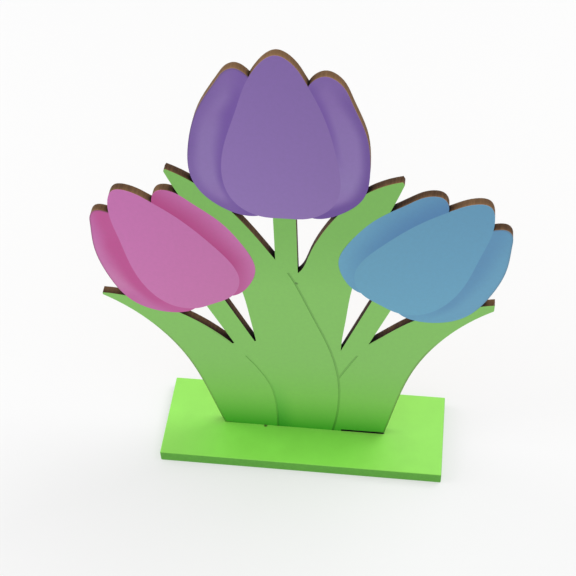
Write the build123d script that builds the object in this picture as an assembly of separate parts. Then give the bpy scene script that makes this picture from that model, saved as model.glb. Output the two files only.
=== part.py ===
from build123d import *
from math import cos, radians
import os

# Wooden tulips: a flat cut-out panel, coloured on its front, that stands by a tab in a slotted base.
# Millimetres, +Z up. The front looks along -Y, and the origin is the middle of the base's underside.

# Base
base_width = 108.0
base_depth = 37.0
base_thickness = 5.0
base_edge_radius = 0.4

# Panel board and the coat of colour on its front
panel_thickness = 3.0
coat_thickness = 0.1

# Tab of the panel in the slot of the base
tab_width = 29.0
tab_rise = 0.3          # the tab stops this far above the underside
tab_end_clearance = 0.6
tab_face_clearance = 0.05
shoulder_gap = 1.0      # the right shoulder stands off the base by this much

# Lines scored into the leaves
score_width = 0.8
score_depth = 0.15
score_setback = 7.0     # a line starts this far below the gap above it

# Stems: straight bars that run down from under their blooms and end hidden among the leaves
middle_stem_width = 7.5
side_stem_width = 7.6
purple_stem_top = (-3.9, 113.7)
pink_stem_top = (-29.5, 69.8)
pink_stem_tilt = 24.0
blue_stem_top = (28.65, 75.2)
blue_stem_tilt = -21.0

# Blooms: height, place of the bloom's lowest point, and tilt
purple_height = 66.5
purple_seat = (-3.3, 113.7)
side_height = 60.8
pink_seat = (-29.6, 69.8)
pink_tilt = 28.9
blue_seat = (27.05, 75.25)
blue_tilt = -33.5

# A bloom is drawn as three petals, with its lowest point near (0, 0)
drawn_height = 66.7
middle_petal = [
    (7.0, 58.0), (11.6, 47.5), (16.7, 27.0), (15.2, 7.0), (7.0, 1.0), (-0.7, 0.5), (-8.0, 0.8),
    (-15.2, 4.8), (-19.8, 24.0), (-13.9, 45.5), (-7.5, 61.1), (-1.0, 66.3), (5.3, 61.2),
]
left_petal = [
    (-19.2, 56.2), (-22.3, 51.2), (-25.2, 46.0), (-29.9, 30.0), (-29.3, 14.0), (-20.7, 3.8),
    (-9.5, 1.0), (-0.7, 9.0), (-3.7, 40.0), (-9.0, 57.4), (-14.2, 60.9), (-15.8, 60.3),
]
right_petal = [
    (24.5, 10.5), (18.7, 4.6), (8.5, 1.5), (1.3, 10.0), (3.3, 38.0), (7.5, 54.0), (10.1, 58.0),
    (13.3, 59.5), (17.9, 57.0), (21.3, 50.0), (25.6, 38.0), (27.0, 25.0),
]

# Leaves, drawn in the panel's plane with (0, 0) on the base's top, middle of the base.
# Each has a back edge from its foot to its tip and a front edge from the tip back to a foot;
# the stretch of the front edge that crosses other leaves is the scored line.
lower_left_back = [(-31.0, 0.0), (-36.0, 19.0), (-43.0, 40.0), (-52.9, 56.0), (-70.2, 70.8)]
lower_left_front = [(-70.2, 71.7), (-58.0, 70.0), (-43.7, 64.0), (-31.7, 55.4), (-24.5, 47.8)]
lower_left_score = [(-24.5, 47.8), (-19.0, 40.0), (-12.0, 26.0), (-10.0, 10.0), (-10.0, 0.0)]

lower_right_back = [(31.0, 0.0), (35.3, 20.0), (40.7, 40.0), (48.5, 56.0), (66.9, 75.9)]
lower_right_front = [(66.9, 78.8), (55.0, 75.5), (39.7, 67.8), (30.5, 59.5), (23.8, 52.9)]
lower_right_score = [(23.8, 52.9), (18.0, 42.0), (13.7, 33.0)]

upper_left_back = [
    (-14.0, 0.0), (-16.4, 52.0), (-17.9, 64.0), (-19.6, 76.0), (-27.0, 98.0), (-39.8, 126.0), (-42.1, 132.0),
]
upper_left_front = [(-41.5, 132.9), (-33.5, 128.3), (-17.2, 110.2), (-7.5, 94.1)]
upper_left_score = [
    (-7.5, 94.1), (-3.3, 88.0), (0.4, 79.0), (5.0, 65.7),
    (10.0, 51.0), (13.4, 34.0), (13.8, 20.0), (11.3, 0.0),
]

upper_right_back = [
    (16.0, 0.0), (15.0, 30.0), (14.6, 52.0), (16.1, 65.0), (17.9, 80.0), (24.0, 103.0), (32.5, 126.0),
    (34.5, 132.0),
]
upper_right_front = [(33.9, 133.2), (23.4, 128.0), (10.4, 112.0), (3.6, 96.8), (0.6, 89.4), (-3.0, 86.5)]

# Gaps beside the pink stem end blunt at these points, and the panel is whole below them
gap_ends = [(-24.9, 48.6), (-16.7, 50.8)]
gap_end_width = 3.0
gap_end_length = 8.0


def petal(points, height, side):
    size = height / drawn_height
    return make_face(Spline(*[(side * u * size, v * size) for u, v in points], periodic=True))


def bloom(seat, tilt, height, side=1):
    # the middle petal lies over its neighbours, which keep only what shows beside it
    middle = petal(middle_petal, height, side)
    left = petal(left_petal, height, side) - middle
    right = petal(right_petal, height, side) - middle - left
    place = Pos(*seat) * Rot(0, 0, tilt)
    return [place * shape for shape in (middle, left, right)]


def leaf(back, front, score=()):
    # back edge, blunt tip, front edge with its scored stretch, and straight down to the foot
    edges = [Spline(*back), Line(back[-1], front[0]), Spline(*front)]
    end = front[-1]
    if score:
        edges.append(Spline(*score))
        end = score[-1]
    if end[1] > 0:
        edges.append(Line(end, (end[0], 0)))
    edges.append(Line((end[0], 0), back[0]))
    return make_face(edges)


def stem(top, tilt, width):
    # reaches into the bloom by its own width, and stops as far above the foot of the panel
    length = top[1] / cos(radians(tilt))
    bar = Rectangle(width, length, align=(Align.CENTER, Align.MAX))
    return Pos(*top) * Rot(0, 0, tilt) * Pos(0, width) * bar


def scored_line(points):
    line = Spline(*points)
    return line.trim(score_setback / line.length, 1)


# Drawing of the panel's front
purple = bloom(purple_seat, 0, purple_height)
pink = bloom(pink_seat, pink_tilt, side_height)
blue = bloom(blue_seat, blue_tilt, side_height, side=-1)
blooms = Sketch() + purple + pink + blue

greens = (
    leaf(lower_left_back, lower_left_front, lower_left_score)
    + leaf(lower_right_back, lower_right_front, lower_right_score)
    + leaf(upper_left_back, upper_left_front, upper_left_score)
    + leaf(upper_right_back, upper_right_front)
    + stem(purple_stem_top, 0, middle_stem_width)
    + stem(pink_stem_top, pink_stem_tilt, side_stem_width)
    + stem(blue_stem_top, blue_stem_tilt, side_stem_width)
)
for end in gap_ends:
    web = Rectangle(gap_end_width, gap_end_length, align=(Align.CENTER, Align.MAX))
    greens += Pos(*end) * Rot(0, 0, pink_stem_tilt) * web
shoulder_width = lower_right_back[0][0] + shoulder_gap - tab_width / 2
lift = Pos(tab_width / 2, 0) * Rectangle(shoulder_width, shoulder_gap, align=(Align.MIN, Align.MIN))
greens -= lift
foliage = greens - blooms

tab_depth = base_thickness - tab_rise
tab = Rectangle(tab_width, tab_depth, align=(Align.CENTER, Align.MAX))
panel_face = greens + blooms + tab

scores = [scored_line(line) for line in (lower_left_score, lower_right_score, upper_left_score)]
front = Plane(origin=(0, -panel_thickness / 2, base_thickness), x_dir=(1, 0, 0), z_dir=(0, -1, 0))
coat_front = front.offset(coat_thickness)

# Panel: the board, with a channel along each scored line for the coat to run into
channel = extrude(front * trace(scores, score_width + 2 * coat_thickness), -score_depth)
tulip_panel = extrude(front * panel_face, -panel_thickness) - channel

# Coats: each colour is a layer on the front, and the green one lines the channels
groove = extrude(coat_front * trace(scores, score_width), -score_depth)
lining = channel & extrude(front * foliage, -panel_thickness)
foliage_print = extrude(front * foliage, coat_thickness) + lining - groove


def bloom_print(petals):
    return Compound([extrude(front * shape, coat_thickness).solid() for shape in petals])


# Base: a strip with softened edges and a slot right through it for the tab
slot_width = tab_width + 2 * tab_end_clearance
slot_depth = panel_thickness + 2 * tab_face_clearance
base_plate = Box(base_width, base_depth, base_thickness, align=(Align.CENTER, Align.CENTER, Align.MIN))
base_plate = fillet(base_plate.edges(), base_edge_radius)
base_plate -= Box(slot_width, slot_depth, base_thickness, align=(Align.CENTER, Align.CENTER, Align.MIN))

parts = {
    "base_plate": base_plate,
    "tulip_panel": tulip_panel,
    "foliage_print": foliage_print,
    "purple_bloom_print": bloom_print(purple),
    "pink_bloom_print": bloom_print(pink),
    "blue_bloom_print": bloom_print(blue),
}
os.makedirs("parts", exist_ok=True)
for name, shape in parts.items():
    export_step(shape, f"parts/{name}.step")
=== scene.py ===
from math import radians

import bmesh
import bpy
import numpy as np
from mathutils import Matrix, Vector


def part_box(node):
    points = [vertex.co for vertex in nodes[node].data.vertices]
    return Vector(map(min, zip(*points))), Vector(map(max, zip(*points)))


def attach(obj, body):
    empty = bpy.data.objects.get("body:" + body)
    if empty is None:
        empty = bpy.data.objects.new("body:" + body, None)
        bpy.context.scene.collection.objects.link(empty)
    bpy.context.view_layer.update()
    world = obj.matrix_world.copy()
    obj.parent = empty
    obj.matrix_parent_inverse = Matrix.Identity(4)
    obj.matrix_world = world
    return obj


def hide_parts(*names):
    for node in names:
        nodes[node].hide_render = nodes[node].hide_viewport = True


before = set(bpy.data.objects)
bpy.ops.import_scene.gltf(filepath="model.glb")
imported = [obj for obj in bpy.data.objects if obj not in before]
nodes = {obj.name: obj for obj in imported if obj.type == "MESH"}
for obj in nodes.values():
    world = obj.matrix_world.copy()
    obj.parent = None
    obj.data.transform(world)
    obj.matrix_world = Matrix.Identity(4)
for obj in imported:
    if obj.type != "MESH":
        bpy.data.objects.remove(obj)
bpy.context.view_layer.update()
mm = 0.001
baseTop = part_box("base_plate")[1].z  # heights on the panel are taken from here
noiseSpan = (0.3, 0.7)  # most values of a noise texture lie between these
print("frame loaded:", ", ".join(sorted(nodes)))


# Small helpers

def linear(hexColour):
    # sRGB hex to linear RGBA
    s = np.array([int(hexColour[i:i + 2], 16) for i in (1, 3, 5)]) / 255
    rgb = np.where(s <= 0.04045, s / 12.92, ((s + 0.055) / 1.055) ** 2.4)
    return (*rgb.tolist(), 1.0)


def addNode(tree, kind, inputs=None, **settings):
    # one node; inputs are plain values or other nodes' outputs, by socket name or number,
    # and a row of numbers takes a row of values
    node = tree.nodes.new("ShaderNode" + kind)
    for key, value in settings.items():
        setattr(node, key, value)
    for key, value in (inputs or {}).items():
        pairs = zip(key, value) if isinstance(key, tuple) else [(key, value)]
        for socket, given in pairs:
            if isinstance(given, bpy.types.NodeSocket):
                tree.links.new(given, node.inputs[socket])
            else:
                node.inputs[socket].default_value = given
    return node


def newMaterial(name):
    material = bpy.data.materials.new(name)
    material.use_nodes = True
    tree = material.node_tree
    tree.nodes.clear()
    shader = addNode(tree, "BsdfPrincipled")
    addNode(tree, "OutputMaterial", {"Surface": shader.outputs[0]})
    return material, tree, shader


def placeInMm(tree, level):
    # Object coordinates in mm, with heights taken from the given level
    place = addNode(tree, "TexCoord").outputs["Object"]
    place = addNode(tree, "VectorMath", {0: place, 1: (0, 0, level)}, operation="SUBTRACT").outputs[0]
    return addNode(tree, "VectorMath", {0: place, "Scale": 1 / mm}, operation="SCALE").outputs[0]


def dress(piece, material):
    piece.data.materials.clear()
    piece.data.materials.append(material)


# Camera, worked out from the base's corners in the photograph

photoView = {
    "place": (41.615, -296.051, 413.419),  # mm, from the middle of the base's underside
    "azimuth": 8.757,  # degrees, as the next two are
    "elevation": 47.724,
    "roll": 2.613,
    "focal": 80.53,  # mm
    "sensor": 36.0,  # mm wide
    "clip": (0.01, 50.0),  # m
}


def addCamera(v):
    data = bpy.data.cameras.new("photoCamera")
    data.lens = v["focal"]
    data.sensor_width = v["sensor"]
    data.clip_start, data.clip_end = v["clip"]
    camera = bpy.data.objects.new("photoCamera", data)
    bpy.context.scene.collection.objects.link(camera)
    turn = Matrix.Rotation(radians(v["azimuth"]), 4, "Z")
    tip = Matrix.Rotation(radians(90 - v["elevation"]), 4, "X")
    lean = Matrix.Rotation(radians(-v["roll"]), 4, "Z")
    camera.matrix_world = Matrix.Translation([mm * c for c in v["place"]]) @ turn @ tip @ lean
    bpy.context.scene.camera = camera


addCamera(photoView)
print("camera placed")


# Studio: a white floor under the soft light of a tent

studio = {
    "floorSize": 12.0,  # m
    "floorColour": "#A6A6A6",
    "floorGlow": 0.47,  # a light table: lit from below too, so that shadows on it stay pale
    "floorRoughness": 0.9,
    "floorGloss": 0.1,
    "tentLight": 0.75,  # even light from all round
    "lampDistance": 1.1,  # m
    # degrees from straight behind towards the right, degrees up, m across, watts
    "lamps": {"highLamp": (60.0, 58.0, 0.7, 5.4), "leftLamp": (-90.0, 25.0, 1.0, 7.0)},
}


def addFloor(s):
    # flat square, corners (+-half, +-half), at the level the base stands on
    half = s["floorSize"] / 2
    mesh = bpy.data.meshes.new("lightTable")
    corners = np.array([(-half, -half, 0), (half, -half, 0), (half, half, 0), (-half, half, 0)])
    mesh.from_pydata(corners.tolist(), [], [(0, 1, 2, 3)])
    floor = bpy.data.objects.new("lightTable", mesh)
    bpy.context.scene.collection.objects.link(floor)
    # frosted acrylic: matt, even and faintly lit from inside
    material, tree, shader = newMaterial("mattWhiteAcrylic")
    shader.inputs["Base Color"].default_value = linear(s["floorColour"])
    shader.inputs["Emission Color"].default_value = (1, 1, 1, 1)
    shader.inputs["Emission Strength"].default_value = s["floorGlow"]
    shader.inputs["Roughness"].default_value = s["floorRoughness"]
    shader.inputs["Specular IOR Level"].default_value = s["floorGloss"]
    dress(floor, material)


def addTent(s):
    world = bpy.data.worlds.new("lightTent")
    bpy.context.scene.world = world
    world.use_nodes = True
    tree = world.node_tree
    tree.nodes.clear()
    # the tent looks white itself, and lights the object at its own lower level
    path = addNode(tree, "LightPath").outputs
    seen = path["Is Camera Ray"]
    for ray in ("Is Glossy Ray", "Is Transmission Ray"):
        seen = addNode(tree, "Math", {0: seen, 1: path[ray]}, operation="MAXIMUM").outputs[0]
    level = addNode(tree, "MapRange", {0: seen, (3, 4): (s["tentLight"], 1.0)})
    back = addNode(tree, "Background", {"Color": (1, 1, 1, 1), "Strength": level.outputs[0]})
    addNode(tree, "OutputWorld", {"Surface": back.outputs[0]})


def addLamps(s):
    for name, (azimuth, elevation, size, watts) in s["lamps"].items():
        data = bpy.data.lights.new(name, "AREA")
        data.shape = "DISK"
        data.size = size
        data.energy = watts
        lamp = bpy.data.objects.new(name, data)
        bpy.context.scene.collection.objects.link(lamp)
        turn = Matrix.Rotation(radians(180 - azimuth), 4, "Z")
        tip = Matrix.Rotation(radians(90 - elevation), 4, "X")
        lamp.matrix_world = turn @ tip @ Matrix.Translation((0, 0, s["lampDistance"]))


addFloor(studio)
addTent(studio)
addLamps(studio)
bpy.context.scene.view_settings.view_transform = "Standard"
print("floor and light ready")


# Blooms: three printed petals each, drawn with the lowest point near (0, 0), in mm

drawnHeight = 66.7
middlePetal = [
    (7.0, 58.0), (11.6, 47.5), (16.7, 27.0), (15.2, 7.0), (7.0, 1.0), (-0.7, 0.5), (-8.0, 0.8),
    (-15.2, 4.8), (-19.8, 24.0), (-13.9, 45.5), (-7.5, 61.1), (-1.0, 66.3), (5.3, 61.2),
]
leftPetal = [
    (-19.2, 56.2), (-22.3, 51.2), (-25.2, 46.0), (-29.9, 30.0), (-29.3, 14.0), (-20.7, 3.8),
    (-9.5, 1.0), (-0.7, 9.0), (-3.7, 40.0), (-9.0, 57.4), (-14.2, 60.9), (-15.8, 60.3),
]
rightPetal = [
    (24.5, 10.5), (18.7, 4.6), (8.5, 1.5), (1.3, 10.0), (3.3, 38.0), (7.5, 54.0), (10.1, 58.0),
    (13.3, 59.5), (17.9, 57.0), (21.3, 50.0), (25.6, 38.0), (27.0, 25.0),
]
# A bloom's seat is its lowest point: mm to the right, and above the base's top; side -1 mirrors the
# drawing. Its ink goes from the foot colour to the tip colour. On a side petal an airbrushed light lies
# under a shade along the middle petal, a rim along its own outline, and ink that the laser browned at
# the cut. Each tone is an ink, then the amount and, for all but the light, where it starts to fade and
# where it ends, in mm from the edge it follows: a list over the heights in petalRise, or one value.
petalRise = [0.08, 0.15, 0.25, 0.35, 0.45, 0.55, 0.65, 0.75, 0.85]  # 0 foot of the bloom, 1 tip
middleTone = (1.03, 0.96)  # the middle petal's tone, a factor from its left edge to its right
middleEdges = (-0.28, 0.25)  # those edges, as shares of the bloom's height
blooms = {
    "purple": {
        "node": "purple_bloom_print", "slot": "bloom_purple",
        "seat": (-3.3, 113.7), "tilt": 0.0, "height": 66.5, "side": 1,
        "foot": "#8E71B3", "tip": "#8163A9",
        "left": {
            "light": ("#8F7AB6", [0.0, 0.0, 0.4, 0.3, 0.35, 0.3, 0.05, 0.2, 0.0]),
            "shade": (
                "#7250A2", [0.75, 0.75, 0.95, 0.9, 0.95, 1.0, 1.0, 0.95, 0.6],
                [0.0, 0.0, 0.0, 0.0, 0.0, 0.5, 1.5, 0.5, 1.0],
                [4.0, 2.5, 3.0, 3.5, 4.5, 5.0, 6.0, 5.0, 7.0],
            ),
            "rim": (
                "#704E9E", [0.75, 0.55, 0.6, 0.6, 0.75, 0.6, 0.5, 0.55, 0.25],
                0.5, [6.0, 4.5, 4.5, 4.5, 4.5, 4.5, 4.5, 5.5, 5.0],
            ),
            "cut": ("#4A3A44", [0.0, 0.0, 0.0, 0.3, 0.5, 0.5, 0.5, 0.5, 0.5], 0.0, 0.6),
        },
        "right": {
            "light": ("#8F7AB6", [0.0, 0.2, 0.7, 0.45, 0.3, 0.32, 0.2, 0.0, 0.0]),
            "shade": (
                "#7250A2", [0.0, 0.0, 0.0, 0.1, 0.5, 0.8, 0.95, 0.95, 0.5],
                0.0, [3.0, 3.0, 3.0, 3.0, 2.5, 3.0, 3.0, 3.5, 3.5],
            ),
            "rim": (
                "#6B4B9A", [1.0, 1.0, 1.0, 0.9, 0.9, 0.85, 0.8, 0.7, 0.25],
                [2.0, 1.0, 0.5, 0.5, 0.5, 0.5, 0.5, 1.0, 1.0],
                [7.0, 5.5, 5.5, 4.2, 4.0, 4.0, 4.5, 5.5, 6.0],
            ),
        },
    },
    "pink": {
        "node": "pink_bloom_print", "slot": "bloom_pink",
        "seat": (-29.6, 69.8), "tilt": 28.9, "height": 60.8, "side": 1,
        "foot": "#CA75AF", "tip": "#C76FB1",
        "left": {
            "light": ("#CC7AAF", [0.0, 0.0, 0.3, 1.0, 1.0, 0.4, 0.4, 0.0, 0.0]),
            "shade": (
                "#C04F93", [0.8, 0.93, 0.95, 1.0, 1.0, 1.0, 1.0, 0.93, 0.95],
                [2.0, 2.0, 2.2, 2.5, 2.5, 2.8, 4.0, 2.5, 3.0],
                [6.0, 6.8, 6.5, 7.3, 9.0, 10.5, 9.8, 10.0, 9.5],
            ),
            "rim": ("#C465A3", [0.3, 0.5, 0.9, 0.0, 0.0, 0.0, 0.0, 0.0, 0.0], 2.0, 6.0),
            "cut": ("#5A3A44", [0.0, 0.0, 0.0, 0.4, 0.65, 0.65, 0.65, 0.65, 0.65], 0.0, 0.6),
        },
        "right": {
            "shade": (
                "#B43D82", [0.6, 0.67, 0.95, 1.0, 0.97, 0.95, 1.0, 1.0, 1.0],
                -1.5, [9.0, 9.5, 10.5, 11.0, 12.0, 13.5, 14.0, 13.5, 14.5],
            ),
        },
    },
    "blue": {
        "node": "blue_bloom_print", "slot": "bloom_blue",
        "seat": (27.05, 75.25), "tilt": -33.5, "height": 60.8, "side": -1,
        "foot": "#69A6C4", "tip": "#619ABC",
        "left": {
            "light": ("#69A2C3", [0.2, 0.5, 1.0, 1.0, 0.8, 0.8, 0.7, 0.5, 0.3]),
            "shade": (
                "#5587B4", [0.2, 0.35, 0.55, 0.5, 0.55, 0.63, 0.65, 0.6, 0.5],
                1.0, [4.0, 4.0, 5.0, 5.5, 6.5, 8.0, 9.0, 9.0, 10.0],
            ),
            "cut": ("#4A3A34", [0.0, 0.0, 0.0, 0.3, 0.4, 0.4, 0.4, 0.4, 0.4], 0.0, 0.6),
        },
        "right": {
            "shade": (
                "#4F82B1", [0.3, 0.4, 0.6, 0.85, 0.95, 1.0, 1.0, 1.0, 1.0],
                [-2.5, -2.5, -2.5, -2.5, -2.5, -2.0, -1.0, -1.0, -1.0],
                [8.0, 8.0, 10.0, 11.0, 12.0, 13.5, 13.5, 14.0, 15.0],
            ),
        },
    },
}
petalGrid = {"outline": 1400, "along": 180, "across": 22, "rings": 18, "round": 240}  # points
inkSurface = {
    "grain": 1.4,  # mm, sanded board that shows through the ink
    "tone": (0.975, 1.025),
    "bump": 0.02,  # mm
    "bumpStrength": 0.25,
    "roughness": (0.56, 0.66),
    "ior": 1.48,
}


def closedSpline(points, count):
    # closed cubic through the points with chord length h as its parameter; the slopes m solve
    # h[i] m[i-1] + 2 (h[i-1] + h[i]) m[i] + h[i-1] m[i+1] = 3 (h[i] d[i-1] + h[i-1] d[i])
    p = np.array(points)
    chord = np.roll(p, -1, 0) - p
    h = np.linalg.norm(chord, axis=1)[:, None]
    d = chord / h
    before = np.roll(h, 1, 0)
    eye = np.eye(len(p))
    system = h * np.roll(eye, -1, 1) + 2 * (before + h) * eye + before * np.roll(eye, 1, 1)
    m = np.linalg.solve(system, 3 * (h * np.roll(d, 1, 0) + before * d))
    ends = np.cumsum(h[:, 0])
    t = np.arange(count) / count * ends[-1]
    i = np.searchsorted(ends, t, side="right")
    j = (i + 1) % len(p)
    s = ((t - ends[i] + h[i, 0]) / h[i, 0])[:, None]
    return ((1 + 2 * s) * (1 - s) ** 2 * p[i] + s ** 2 * (3 - 2 * s) * p[j]
            + h[i] * (s * (1 - s) ** 2 * m[i] - s ** 2 * (1 - s) * m[j]))


def within(points, ring):
    # even-odd rule: a point is inside if a ray to its right crosses the ring an odd number of times
    a, b = ring, np.roll(ring, -1, 0)
    x, y = points[:, :1], points[:, 1:]
    crossing = (a[:, 1] <= y) != (b[:, 1] <= y)
    rise = np.where(b[:, 1] == a[:, 1], 1, b[:, 1] - a[:, 1])
    at = a[:, 0] + (y - a[:, 1]) / rise * (b[:, 0] - a[:, 0])
    return np.sum(crossing & (x < at), axis=1) % 2 == 1


def stretch(ring, keep):
    # the one unbroken run of kept points, in the ring's order
    first = np.flatnonzero(keep & ~np.roll(keep, 1))[0]
    return np.roll(ring, -first, 0)[:keep.sum()]


def evenly(path, count):
    # the path again, at equal steps of its length
    run = np.r_[0, np.cumsum(np.linalg.norm(np.diff(path, axis=0), axis=1))]
    at = np.linspace(0, run[-1], count)
    return np.c_[np.interp(at, run, path[:, 0]), np.interp(at, run, path[:, 1])]


def distance(points, path):
    # from each point to the nearest point of a finely drawn path
    gap = points[:, None, :] - path[None, :, :]
    return np.sqrt((gap ** 2).sum(2).min(1))


def petalGrids(size):
    # middle petal: centre + r (outline(t) - centre); side petal: inner(u) + v (outer(u) - inner(u)),
    # from the middle petal's edge to its own outline
    ring = closedSpline(middlePetal, petalGrid["outline"]) * size
    centre = ring.mean(0)
    turn = evenly(np.r_[ring, ring[:1]], petalGrid["round"])
    r = np.linspace(0, 1, petalGrid["rings"])[:, None, None]
    grids = {"middle": (centre + r * (turn - centre), None, None)}
    for name, points in (("left", leftPetal), ("right", rightPetal)):
        own = closedSpline(points, petalGrid["outline"]) * size
        outer = stretch(own, ~within(own, ring))
        inner = stretch(ring, within(ring, own))
        if np.linalg.norm(inner[0] - outer[0]) > np.linalg.norm(inner[-1] - outer[0]):
            inner = inner[::-1]
        first, last = (inner[0] + outer[0]) / 2, (inner[-1] + outer[-1]) / 2
        inner = np.r_[[first], inner, [last]]
        outer = np.r_[[first], outer, [last]]
        v = np.linspace(0, 1, petalGrid["across"])[:, None, None]
        near, far = evenly(inner, petalGrid["along"]), evenly(outer, petalGrid["along"])
        grids[name] = (near + v * (far - near), inner, outer)
    return grids


def airbrush(points, edges, tones, height):
    # amount at this height times a smooth fade 1 - t^2 (3 - 2 t) with the distance from the edge
    rise = points[:, 1] / height
    marks = {"rise": rise, "across": points[:, 0] / height}
    for tone, (_, *lists) in tones.items():
        full = [np.broadcast_to(values, len(petalRise)) for values in lists]
        amount, *reach = [np.interp(rise, petalRise, values) for values in full]
        if reach:
            start, end = reach
            t = np.clip((distance(points, edges[tone]) - start) / (end - start), 0, 1)
            amount = amount * (1 - t ** 2 * (3 - 2 * t))
        marks[tone] = amount
    return marks


def slab(name, grid, frontY, backY, marks):
    # closed sheet: the grid at its front and back level, joined round its four borders
    rows, cols = grid.shape[:2]
    x, z = grid.reshape(-1, 2).T
    front = np.c_[x, np.full_like(x, frontY), z]
    back = np.c_[x, np.full_like(x, backY), z]
    n = rows * cols
    k = np.arange(n).reshape(rows, cols)
    quad = np.stack([k[:-1, :-1], k[:-1, 1:], k[1:, 1:], k[1:, :-1]], -1).reshape(-1, 4)
    border = np.r_[k[0, :-1], k[:-1, -1], k[-1, :0:-1], k[:0:-1, 0]]
    following = np.roll(border, -1)
    wall = np.c_[following, border, border + n, following + n]
    faces = np.r_[quad, quad[:, ::-1] + n, wall]
    mesh = bpy.data.meshes.new(name)
    mesh.from_pydata(np.r_[front, back].tolist(), [], faces.tolist())
    for label, values in marks.items():
        layer = mesh.attributes.new(label, "FLOAT", "POINT")
        layer.data.foreach_set("value", np.r_[values, values].astype(np.float32))
    work = bmesh.new()
    work.from_mesh(mesh)
    bmesh.ops.remove_doubles(work, verts=work.verts, dist=1e-7)  # closes seams, poles and points
    bmesh.ops.recalc_face_normals(work, faces=work.faces)
    work.to_mesh(mesh)
    work.free()
    piece = bpy.data.objects.new(name, mesh)
    bpy.context.scene.collection.objects.link(piece)
    return piece


def finishInk(tree, shader, colour, v):
    # UV-cured ink on sanded MDF: matt, with the board's fine grain in its tone, gloss and relief
    place = addNode(tree, "TexCoord").outputs["Object"]
    grain = addNode(tree, "TexNoise", {"Vector": place, "Scale": 1 / (v["grain"] * mm), "Detail": 3.0})
    grain = grain.outputs[0]
    tone = addNode(tree, "MapRange", {0: grain, (1, 2): noiseSpan, (3, 4): v["tone"]})
    toned = addNode(tree, "Mix", {0: 1.0, 6: colour, 7: tone.outputs[0]},
                    data_type="RGBA", blend_type="MULTIPLY")
    gloss = addNode(tree, "MapRange", {0: grain, (1, 2): noiseSpan, (3, 4): v["roughness"]})
    relief = {"Strength": v["bumpStrength"], "Distance": v["bump"] * mm, "Height": grain}
    bump = addNode(tree, "Bump", relief)
    tree.links.new(toned.outputs[2], shader.inputs["Base Color"])
    tree.links.new(gloss.outputs[0], shader.inputs["Roughness"])
    tree.links.new(bump.outputs[0], shader.inputs["Normal"])
    shader.inputs["IOR"].default_value = v["ior"]


def petalPrint(name, b, tones):
    # printed petal ink: even, darker towards the tip; on a side petal a soft airbrushed shade where it goes
    # behind the middle one, a rim along its outline, a light streak between and a brown line at the cut
    material, tree, shader = newMaterial(name + "PrintedInk")
    rise = addNode(tree, "Attribute", attribute_name="rise").outputs["Fac"]
    ink = addNode(tree, "Mix", {0: rise, 6: linear(b["foot"]), 7: linear(b["tip"])}, data_type="RGBA")
    for tone, (colour, *_) in tones.items():
        amount = addNode(tree, "Attribute", attribute_name=tone).outputs["Fac"]
        ink = addNode(tree, "Mix", {0: amount, 6: ink.outputs[2], 7: linear(colour)}, data_type="RGBA")
    if not tones:
        across = addNode(tree, "Attribute", attribute_name="across").outputs["Fac"]
        tone = addNode(tree, "MapRange", {0: across, (1, 2): middleEdges, (3, 4): middleTone})
        ink = addNode(tree, "Mix", {0: 1.0, 6: ink.outputs[2], 7: tone.outputs[0]},
                      data_type="RGBA", blend_type="MULTIPLY")
    finishInk(tree, shader, ink.outputs[2], inkSurface)
    return material


def addBloom(name, b):
    low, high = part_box(b["node"])
    tilt = radians(b["tilt"])
    turn = np.array([[np.cos(tilt), np.sin(tilt)], [-np.sin(tilt), np.cos(tilt)]])
    pieces = []
    for part, (grid, inner, outer) in petalGrids(b["height"] / drawnHeight).items():
        tones = b.get(part, {})
        edges = {"shade": inner, "rim": outer, "cut": outer}
        marks = airbrush(grid.reshape(-1, 2), edges, tones, b["height"])
        placed = (grid * (b["side"], 1)) @ turn * mm + np.array(b["seat"]) * mm + (0, baseTop)
        piece = slab(f"{name}Petal{part.capitalize()}", placed, low.y, high.y, marks)
        dress(piece, petalPrint(piece.name, b, tones))
        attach(piece, "panel")
        pieces.append(piece)
    for piece in pieces:
        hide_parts(b["node"])
    print(name, "bloom:", ", ".join(p.name for p in pieces))


for bloomName, bloom in blooms.items():
    addBloom(bloomName, bloom)


# Leaves and stems: one printed coat, with scored lines; all in mm, and heights from the base's top

leafPrint = {
    "colour": "#85C461",
    "upper": "#7BBA58",  # the leaves behind the blooms
    "upperFrom": (80.0, 108.0),
    "lower": "#7DC650",
    "lowerFrom": (10.0, 45.0),
    "foot": "#3CA41D",
    "footHeight": 22.0,
    "footPower": 1.6,
    "overlap": "#BCE7CB",  # tints the ink where the left leaf lies over the middle one
    "overlapReach": 8.0,  # to the right of the left leaf's scored edge
    "overlapFrom": (2.0, 30.0),
    "edge": -10.0,  # that scored edge, straight up to edgeRise and then bent to the left
    "edgeRise": 8.0,
    "edgeBend": 0.0062,  # per mm
    "front": -1.6,  # level of the coat's face
    "sunk": (-1.595, -1.56),  # levels from the face into a scored line
    "lineShade": (0.95, 0.84),  # painted shade in the left line and in the others, as a share of the ink around
    "lineSplit": (-5.2, -4.8),  # between the left line and the others
    "lineFoot": 14.0,  # below this the painted shade in the lines deepens to their feet
    "lineFootShade": 0.8,
    "mark": (-0.8, 83.3),  # where the laser started the long line
    "markSize": (0.3, 0.8),
    "markTone": 0.45,
    "rim": "#544428",  # ink browned by the laser along the outer cut of the long leaves
    "rimWidth": 1.1,
    "rimLean": (0.7, 1.0),  # how far the rounded normal agrees with the flat one, at the cut and inside
    "rimFrom": (24.0, 30.0),  # to either side
    "rimBelow": (50.0, 60.0),
}


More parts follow.
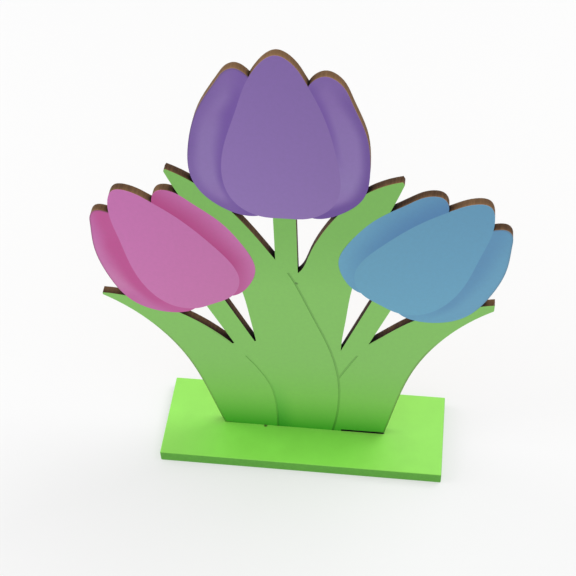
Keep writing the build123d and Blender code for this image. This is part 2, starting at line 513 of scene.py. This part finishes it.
def inkedLeaves(v):
    # the same ink in spring green, darker and greener towards the foot, with a soft printed shade beside the
    # overlap
    material, tree, shader = newMaterial("leafPrintedInk")
    place = placeInMm(tree, baseTop)
    x, y, z = addNode(tree, "SeparateXYZ", {0: place}).outputs
    upper = addNode(tree, "MapRange", {0: z, (1, 2): v["upperFrom"]})
    lower = addNode(tree, "MapRange", {0: z, (1, 2): v["lowerFrom"], (3, 4): (1.0, 0.0)},
                    interpolation_type="SMOOTHSTEP")
    foot = addNode(tree, "MapRange", {0: z, (1, 2): (0.0, v["footHeight"]), (3, 4): (1.0, 0.0)})
    foot = addNode(tree, "Math", {0: foot.outputs[0], 1: v["footPower"]}, operation="POWER")
    colour = linear(v["colour"])
    for amount, tone in ((upper, "upper"), (lower, "lower"), (foot, "foot")):
        mix = addNode(tree, "Mix", {0: amount.outputs[0], 6: colour, 7: linear(v[tone])}, data_type="RGBA")
        colour = mix.outputs[2]
    # the scored edge of the left leaf is x = edge - edgeBend (z - edgeRise)^2, straight below edgeRise
    above = addNode(tree, "Math", {0: z, 1: v["edgeRise"]}, operation="SUBTRACT")
    above = addNode(tree, "Math", {0: above.outputs[0], 1: 0.0}, operation="MAXIMUM")
    bend = addNode(tree, "Math", {0: above.outputs[0], 1: 2.0}, operation="POWER")
    beside = addNode(tree, "Math", {0: bend.outputs[0], 1: v["edgeBend"], 2: x}, operation="MULTIPLY_ADD")
    beside = beside.outputs[0]
    reach = (v["edge"], v["edge"] + v["overlapReach"])
    shade = addNode(tree, "MapRange", {0: beside, (1, 2): reach, (3, 4): (1.0, 0.0)},
                    interpolation_type="SMOOTHSTEP")
    over = addNode(tree, "Math", {0: beside, 1: v["edge"]}, operation="GREATER_THAN")
    low = addNode(tree, "MapRange", {0: z, (1, 2): v["overlapFrom"], (3, 4): (1.0, 0.0)})
    for part in (over, low):
        shade = addNode(tree, "Math", {0: shade.outputs[0], 1: part.outputs[0]}, operation="MULTIPLY")
    shaded = addNode(tree, "Mix", {0: shade.outputs[0], 6: colour, 7: linear(v["overlap"])},
                     data_type="RGBA", blend_type="MULTIPLY")
    # painted shade in the scored lines, deeper to their feet, and the small dark mark where the laser
    # started the long one
    sunk = addNode(tree, "MapRange", {0: y, (1, 2): v["sunk"]})
    grooveShade = addNode(tree, "MapRange", {0: x, (1, 2): v["lineSplit"], (3, 4): v["lineShade"]})
    grooveFootShade = addNode(tree, "MapRange", {0: z, (1, 2): (0.0, v["lineFoot"]), (3, 4): (v["lineFootShade"], 1.0)})
    grooveShade = addNode(tree, "Math", {0: grooveShade.outputs[0], 1: grooveFootShade.outputs[0]}, operation="MULTIPLY")
    tone = addNode(tree, "Mix", {0: sunk.outputs[0], 2: 1.0, 3: grooveShade.outputs[0]}, data_type="FLOAT")
    start = (v["mark"][0], v["front"], v["mark"][1])
    apart = addNode(tree, "VectorMath", {0: place, 1: start}, operation="DISTANCE").outputs["Value"]
    dot = addNode(tree, "MapRange", {0: apart, (1, 2): v["markSize"], (3, 4): (v["markTone"], 1.0)})
    tone = addNode(tree, "Math", {0: tone.outputs[0], 1: dot.outputs[0]}, operation="MULTIPLY")
    toned = addNode(tree, "Mix", {0: 1.0, 6: shaded.outputs[2], 7: tone.outputs[0]},
                    data_type="RGBA", blend_type="MULTIPLY")
    # browned rim: near a cut the rounded normal leans away from the flat one
    rounded = addNode(tree, "Bevel", {"Radius": v["rimWidth"] * mm}, samples=8).outputs[0]
    flat = addNode(tree, "NewGeometry").outputs["True Normal"]
    lean = addNode(tree, "VectorMath", {0: rounded, 1: flat}, operation="DOT_PRODUCT").outputs["Value"]
    rim = addNode(tree, "MapRange", {0: lean, (1, 2): v["rimLean"], (3, 4): (1.0, 0.0)})
    off = addNode(tree, "Math", {0: x}, operation="ABSOLUTE")
    aside = addNode(tree, "MapRange", {0: off.outputs[0], (1, 2): v["rimFrom"]})
    below = addNode(tree, "MapRange", {0: z, (1, 2): v["rimBelow"], (3, 4): (1.0, 0.0)})
    for part in (aside, below):
        rim = addNode(tree, "Math", {0: rim.outputs[0], 1: part.outputs[0]}, operation="MULTIPLY")
    browned = addNode(tree, "Mix", {0: rim.outputs[0], 6: toned.outputs[2], 7: linear(v["rim"])},
                      data_type="RGBA")
    finishInk(tree, shader, browned.outputs[2], inkSurface)
    return material


dress(nodes["foliage_print"], inkedLeaves(leafPrint))
print("leaves inked")


# Panel board: laser-cut MDF; all in mm, and heights from the base's top

panelBoard = {
    "toast": "#75583B",  # browned cut edge
    "char": "#321F16",  # where the beam lingered
    "skin": "#9C7550",  # denser outer layer, less burnt
    # painted shade: black for the tight corners of the cut, over char that is deeper there too
    "paintedShade": "#0C0705",
    "darkerFrom": (87.0, 162.0),  # darker at the foot, lighter at the tips
    "darkerAmount": (0.9, 0.2),
    # spots made darker or lighter: place to the right, height, reach, and change, full to half the reach
    "spots": [
        (-68.0, 71.0, 18.0, -0.24), (66.0, 77.0, 18.0, -0.4),  # tips of the long leaves
        (-36.0, 130.0, 11.0, 0.27), (30.0, 131.0, 12.0, 0.29),  # tips of the upper leaves
        (-68.0, 112.0, 13.0, -0.43), (-46.0, 122.0, 9.0, -0.29),  # pink side petals
        (61.0, 125.0, 13.0, -0.2), (69.0, 113.0, 8.0, 0.1),  # blue middle and right petals
        (-33.0, 58.0, 22.0, -0.15), (-12.0, 100.0, 14.0, -0.1),  # gaps on the left
    ],
    "wander": 18.0,  # slow change of the burn along the cut
    "wanderSpan": (0.35, 0.65),
    "wanderChar": (-0.15, 0.15),
    "striation": 0.7,  # real ones are about 0.2, drawn coarser to show
    "striationStretch": 10.0,  # times as long, across the thickness
    "striationChar": (-0.15, 0.15),
    "thickness": 3.0,
    "waver": 0.2,  # of the layers, as a share of the thickness, as the next two depths are
    "skinDepth": (0.05, 0.2),
    "skinAmount": 0.3,
    "coreDepth": (0.1, 0.6),
    "coreChar": (-0.12, 0.1),
    "turn": (80.0, 112.0),  # front side of the cut darker below this, lighter above
    "corner": 5.0,  # reach of the painted shade in tight corners
    "cornerOpen": (0.25, 0.72),  # share of open space at full soot and at none
    "face": "#BF9C74",
    "faceDark": "#A98258",
    "faceTurn": (0.4, 0.6),  # how squarely a surface looks forward or back, from cut edge to bare face
    "fibre": 1.1,
    "fleck": (0.35, 0.68),
    "relief": 0.06,
    "reliefStrength": 0.4,
    "roughness": (0.72, 0.92),
    "ior": 1.45,
    "gloss": 0.2,  # open fibres and soot scatter most of it
}


def laserCutBoard(v):
    # medium-density fibreboard: cut edges toasted brown to black, with lines across the thickness from
    # the beam and painted shade in tight corners; a bare, faintly flecked back
    material, tree, shader = newMaterial("laserCutMdf")
    place = placeInMm(tree, baseTop)
    y, z = addNode(tree, "SeparateXYZ", {0: place}).outputs[1:]
    wander = addNode(tree, "TexNoise", {"Vector": place, "Scale": 1 / v["wander"], "Detail": 2.0})
    drawn = (1.0, 1 / v["striationStretch"], 1.0)
    squeezed = addNode(tree, "VectorMath", {0: place, 1: drawn}, operation="MULTIPLY").outputs[0]
    lines = addNode(tree, "TexNoise", {"Vector": squeezed, "Scale": 1 / v["striation"], "Detail": 2.0})
    lines = lines.outputs[0]
    # layers across the edge: 0 at the front, 1 at the back, wavering a little
    half = v["thickness"] / 2
    level = (-v["waver"] / 2, 1 - v["waver"] / 2)
    depth = addNode(tree, "MapRange", {0: y, (1, 2): (-half, half), (3, 4): level})
    depth = addNode(tree, "Math", {0: lines, 1: v["waver"], 2: depth.outputs[0]}, operation="MULTIPLY_ADD")
    depth = depth.outputs[0]
    skin = addNode(tree, "MapRange", {0: depth, (1, 2): v["skinDepth"], (3, 4): (v["skinAmount"], 0.0)},
                   interpolation_type="SMOOTHSTEP")
    core = addNode(tree, "MapRange", {0: depth, (1, 2): v["coreDepth"], (3, 4): v["coreChar"]},
                   interpolation_type="SMOOTHSTEP")
    turn = addNode(tree, "MapRange", {0: z, (1, 2): v["turn"], (3, 4): (-1.0, 1.0)}).outputs[0]
    skin = addNode(tree, "Math", {0: skin.outputs[0], 1: turn}, operation="MULTIPLY", use_clamp=True)
    core = addNode(tree, "Math", {0: core.outputs[0], 1: turn}, operation="MULTIPLY")
    # amount of the char colour: darker towards the foot, in spots, by layer, wandering along the cut, and
    # streaked
    darkened = addNode(tree, "MapRange", {0: z, (1, 2): v["darkerFrom"], (3, 4): v["darkerAmount"]},
                      interpolation_type="SMOOTHSTEP")
    changes = [core]
    for across, up, reach, change in v["spots"]:
        apart = addNode(tree, "VectorMath", {0: place, 1: (across, 0, up)}, operation="DISTANCE")
        fade = {0: apart.outputs["Value"], (1, 2): (reach / 2, reach), (3, 4): (change, 0.0)}
        changes.append(addNode(tree, "MapRange", fade, interpolation_type="SMOOTHSTEP"))
    for noise, span, change in ((wander.outputs[0], v["wanderSpan"], v["wanderChar"]),
                                (lines, noiseSpan, v["striationChar"])):
        changes.append(addNode(tree, "MapRange", {0: noise, (1, 2): span, (3, 4): change}))
    for change in changes:
        darkened = addNode(tree, "Math", {0: darkened.outputs[0], 1: change.outputs[0]}, operation="ADD")
    # painted shade: the cut goes black where little open space is near, in tight corners, on top of the
    # deeper char there
    corner = addNode(tree, "AmbientOcclusion", {"Distance": v["corner"] * mm}, samples=16).outputs["AO"]
    paintedShade = addNode(tree, "MapRange", {0: corner, (1, 2): v["cornerOpen"], (3, 4): (1.0, 0.0)},
                   interpolation_type="SMOOTHSTEP")
    cut = linear(v["toast"])
    for amount, tone in ((darkened, "char"), (skin, "skin"), (paintedShade, "paintedShade")):
        mix = addNode(tree, "Mix", {0: amount.outputs[0], 6: cut, 7: linear(v[tone])}, data_type="RGBA")
        cut = mix.outputs[2]
    # bare faces
    grain = {"Vector": place, "Scale": 1 / v["fibre"], "Detail": 5.0, "Roughness": 0.7}
    fibre = addNode(tree, "TexNoise", grain).outputs[0]
    fleck = addNode(tree, "MapRange", {0: fibre, (1, 2): v["fleck"]})
    bare = addNode(tree, "Mix", {0: fleck.outputs[0], 6: linear(v["face"]), 7: linear(v["faceDark"])},
                   data_type="RGBA")
    normal = addNode(tree, "SeparateXYZ", {0: addNode(tree, "TexCoord").outputs["Normal"]})
    facing = addNode(tree, "Math", {0: normal.outputs["Y"]}, operation="ABSOLUTE")
    face = addNode(tree, "MapRange", {0: facing.outputs[0], (1, 2): v["faceTurn"]})
    colour = addNode(tree, "Mix", {0: face.outputs[0], 6: cut, 7: bare.outputs[2]}, data_type="RGBA")
    rough = addNode(tree, "MapRange", {0: fibre, (1, 2): noiseSpan, (3, 4): v["roughness"]})
    height = addNode(tree, "Mix", {0: face.outputs[0], 2: lines, 3: fibre}, data_type="FLOAT")
    relief = {"Strength": v["reliefStrength"], "Distance": v["relief"] * mm, "Height": height.outputs[0]}
    bump = addNode(tree, "Bump", relief)
    tree.links.new(colour.outputs[2], shader.inputs["Base Color"])
    tree.links.new(rough.outputs[0], shader.inputs["Roughness"])
    tree.links.new(bump.outputs[0], shader.inputs["Normal"])
    shader.inputs["IOR"].default_value = v["ior"]
    shader.inputs["Specular IOR Level"].default_value = v["gloss"]
    return material


dress(nodes["tulip_panel"], laserCutBoard(panelBoard))
print("panel board ready")


# Base: MDF strip under rolled acrylic paint; all in mm, from the middle of its underside

basePaint = {
    "colour": "#89D453",
    "middle": "#88DD4F",  # painted light: greener and purer in the panel's shadow, as if lit by green light bounced from the panel
    "bounceAt": -8.0,  # to the right
    "bounceReach": (22.0, 46.0),  # to either side of that
    "bounceAhead": (-4.0, 1.0),  # from in front of the panel to its inside
    "edge": "#58A431",  # partly painted shade on the upright faces, which the light from above leaves darker; partly a darker coat, as the cut edges drink the paint
    "edgeTurn": (0.3, 0.9),  # how squarely a surface looks up or down, from edge to top
    "scorchAndShade": "#3A2418",  # scorched walls of the slot, also used for the painted shade at its left end
    "slotHalf": (15.15, 1.6),
    "slotEndShade": (-15.0, -1.9),  # painted shade at the left end of the slot, where the dark slot shows
    "slotEndShadeSize": (0.35, 0.9),
    "slotEndShadeAmount": 0.85,
    "paintedShade": "#0B0705",  # painted shade under the right shoulder, which stands off the base
    "paintedShadeEnd": (31.0, 31.5),  # to the right
    "stipple": 0.9,  # nap of the roller
    "stippleTone": (0.93, 1.07),  # on the edges
    "mottle": 7.0,
    "mottleTone": (0.97, 1.03),  # on the top
    "relief": 0.03,
    "reliefStrength": 0.3,
    "roughness": (0.44, 0.54),
    "edgeRoughness": 0.68,
    "ior": 1.47,
}


def rolledPaint(v):
    # satin acrylic: a little uneven in depth, with the fine orange peel of a foam roller on top and a
    # drier, darker coat on the cut edges, darker still with painted shade on the upright faces
    material, tree, shader = newMaterial("rolledAcrylicPaint")
    place = placeInMm(tree, 0.0)
    x, y = addNode(tree, "SeparateXYZ", {0: place}).outputs[:2]
    mottle = addNode(tree, "TexNoise", {"Vector": place, "Scale": 1 / v["mottle"], "Detail": 3.0}).outputs[0]
    peel = addNode(tree, "TexNoise", {"Vector": place, "Scale": 1 / v["stipple"], "Detail": 2.0}).outputs[0]
    normal = addNode(tree, "SeparateXYZ", {0: addNode(tree, "TexCoord").outputs["Normal"]})
    upright = addNode(tree, "Math", {0: normal.outputs["Z"]}, operation="ABSOLUTE")
    top = addNode(tree, "MapRange", {0: upright.outputs[0], (1, 2): v["edgeTurn"]}).outputs[0]
    # the coat, greener in front of the panel with painted green light bounced from it, and darker on the
    # edges, partly with painted shade
    # painted light: the green that the panel bounces into its shadow on the base
    off = addNode(tree, "Math", {0: x, 1: v["bounceAt"]}, operation="SUBTRACT")
    off = addNode(tree, "Math", {0: off.outputs[0]}, operation="ABSOLUTE")
    aside = addNode(tree, "MapRange", {0: off.outputs[0], (1, 2): v["bounceReach"], (3, 4): (1.0, 0.0)},
                    interpolation_type="SMOOTHSTEP")
    ahead = addNode(tree, "MapRange", {0: y, (1, 2): v["bounceAhead"], (3, 4): (1.0, 0.0)},
                    interpolation_type="SMOOTHSTEP")
    middle = addNode(tree, "Math", {0: aside.outputs[0], 1: ahead.outputs[0]}, operation="MULTIPLY")
    coat = addNode(tree, "Mix", {0: middle.outputs[0], 6: linear(v["colour"]), 7: linear(v["middle"])},
                   data_type="RGBA")
    # partly painted shade: the upright faces darker than the top, as the light from above leaves them
    coat = addNode(tree, "Mix", {0: top, 6: linear(v["edge"]), 7: coat.outputs[2]}, data_type="RGBA")
    even = addNode(tree, "MapRange", {0: mottle, (1, 2): noiseSpan, (3, 4): v["mottleTone"]})
    dry = addNode(tree, "MapRange", {0: peel, (1, 2): noiseSpan, (3, 4): v["stippleTone"]})
    tone = addNode(tree, "Mix", {0: top, 2: dry.outputs[0], 3: even.outputs[0]}, data_type="FLOAT")
    coat = addNode(tree, "Mix", {0: 1.0, 6: coat.outputs[2], 7: tone.outputs[0]},
                   data_type="RGBA", blend_type="MULTIPLY")
    # scorched walls of the slot, painted shade at its left end, and painted shade under the shoulder
    away = addNode(tree, "VectorMath", {0: place}, operation="ABSOLUTE")
    away = addNode(tree, "SeparateXYZ", {0: away.outputs[0]})
    inX = addNode(tree, "Math", {0: away.outputs["X"], 1: v["slotHalf"][0]}, operation="LESS_THAN")
    inY = addNode(tree, "Math", {0: away.outputs["Y"], 1: v["slotHalf"][1]}, operation="LESS_THAN")
    slot = addNode(tree, "Math", {0: inX.outputs[0], 1: inY.outputs[0]}, operation="MULTIPLY")
    spot = (*v["slotEndShade"], baseTop / mm)
    apart = addNode(tree, "VectorMath", {0: place, 1: spot}, operation="DISTANCE").outputs["Value"]
    endShade = addNode(tree, "MapRange", {0: apart, (1, 2): v["slotEndShadeSize"], (3, 4): (v["slotEndShadeAmount"], 0.0)})
    scorchAndShade = addNode(tree, "Math", {0: slot.outputs[0], 1: endShade.outputs[0]}, operation="MAXIMUM")
    # painted shade: black under the right shoulder, where the gap stays in shadow
    beyond = addNode(tree, "Math", {0: x, 1: v["slotHalf"][0]}, operation="GREATER_THAN")
    short = addNode(tree, "MapRange", {0: x, (1, 2): v["paintedShadeEnd"], (3, 4): (1.0, 0.0)})
    paintedShade = addNode(tree, "Math", {0: beyond.outputs[0], 1: inY.outputs[0]}, operation="MULTIPLY")
    paintedShade = addNode(tree, "Math", {0: paintedShade.outputs[0], 1: short.outputs[0]}, operation="MULTIPLY")
    for amount, stain in ((scorchAndShade, "scorchAndShade"), (paintedShade, "paintedShade")):
        coat = addNode(tree, "Mix", {0: amount.outputs[0], 6: coat.outputs[2], 7: linear(v[stain])},
                       data_type="RGBA")
    gloss = addNode(tree, "MapRange", {0: mottle, (1, 2): noiseSpan, (3, 4): v["roughness"]})
    rough = addNode(tree, "Mix", {0: top, 2: v["edgeRoughness"], 3: gloss.outputs[0]}, data_type="FLOAT")
    relief = {"Strength": v["reliefStrength"], "Distance": v["relief"] * mm, "Height": peel}
    bump = addNode(tree, "Bump", relief)
    tree.links.new(coat.outputs[2], shader.inputs["Base Color"])
    tree.links.new(rough.outputs[0], shader.inputs["Roughness"])
    tree.links.new(bump.outputs[0], shader.inputs["Normal"])
    shader.inputs["IOR"].default_value = v["ior"]
    return material


dress(nodes["base_plate"], rolledPaint(basePaint))
print("base painted")
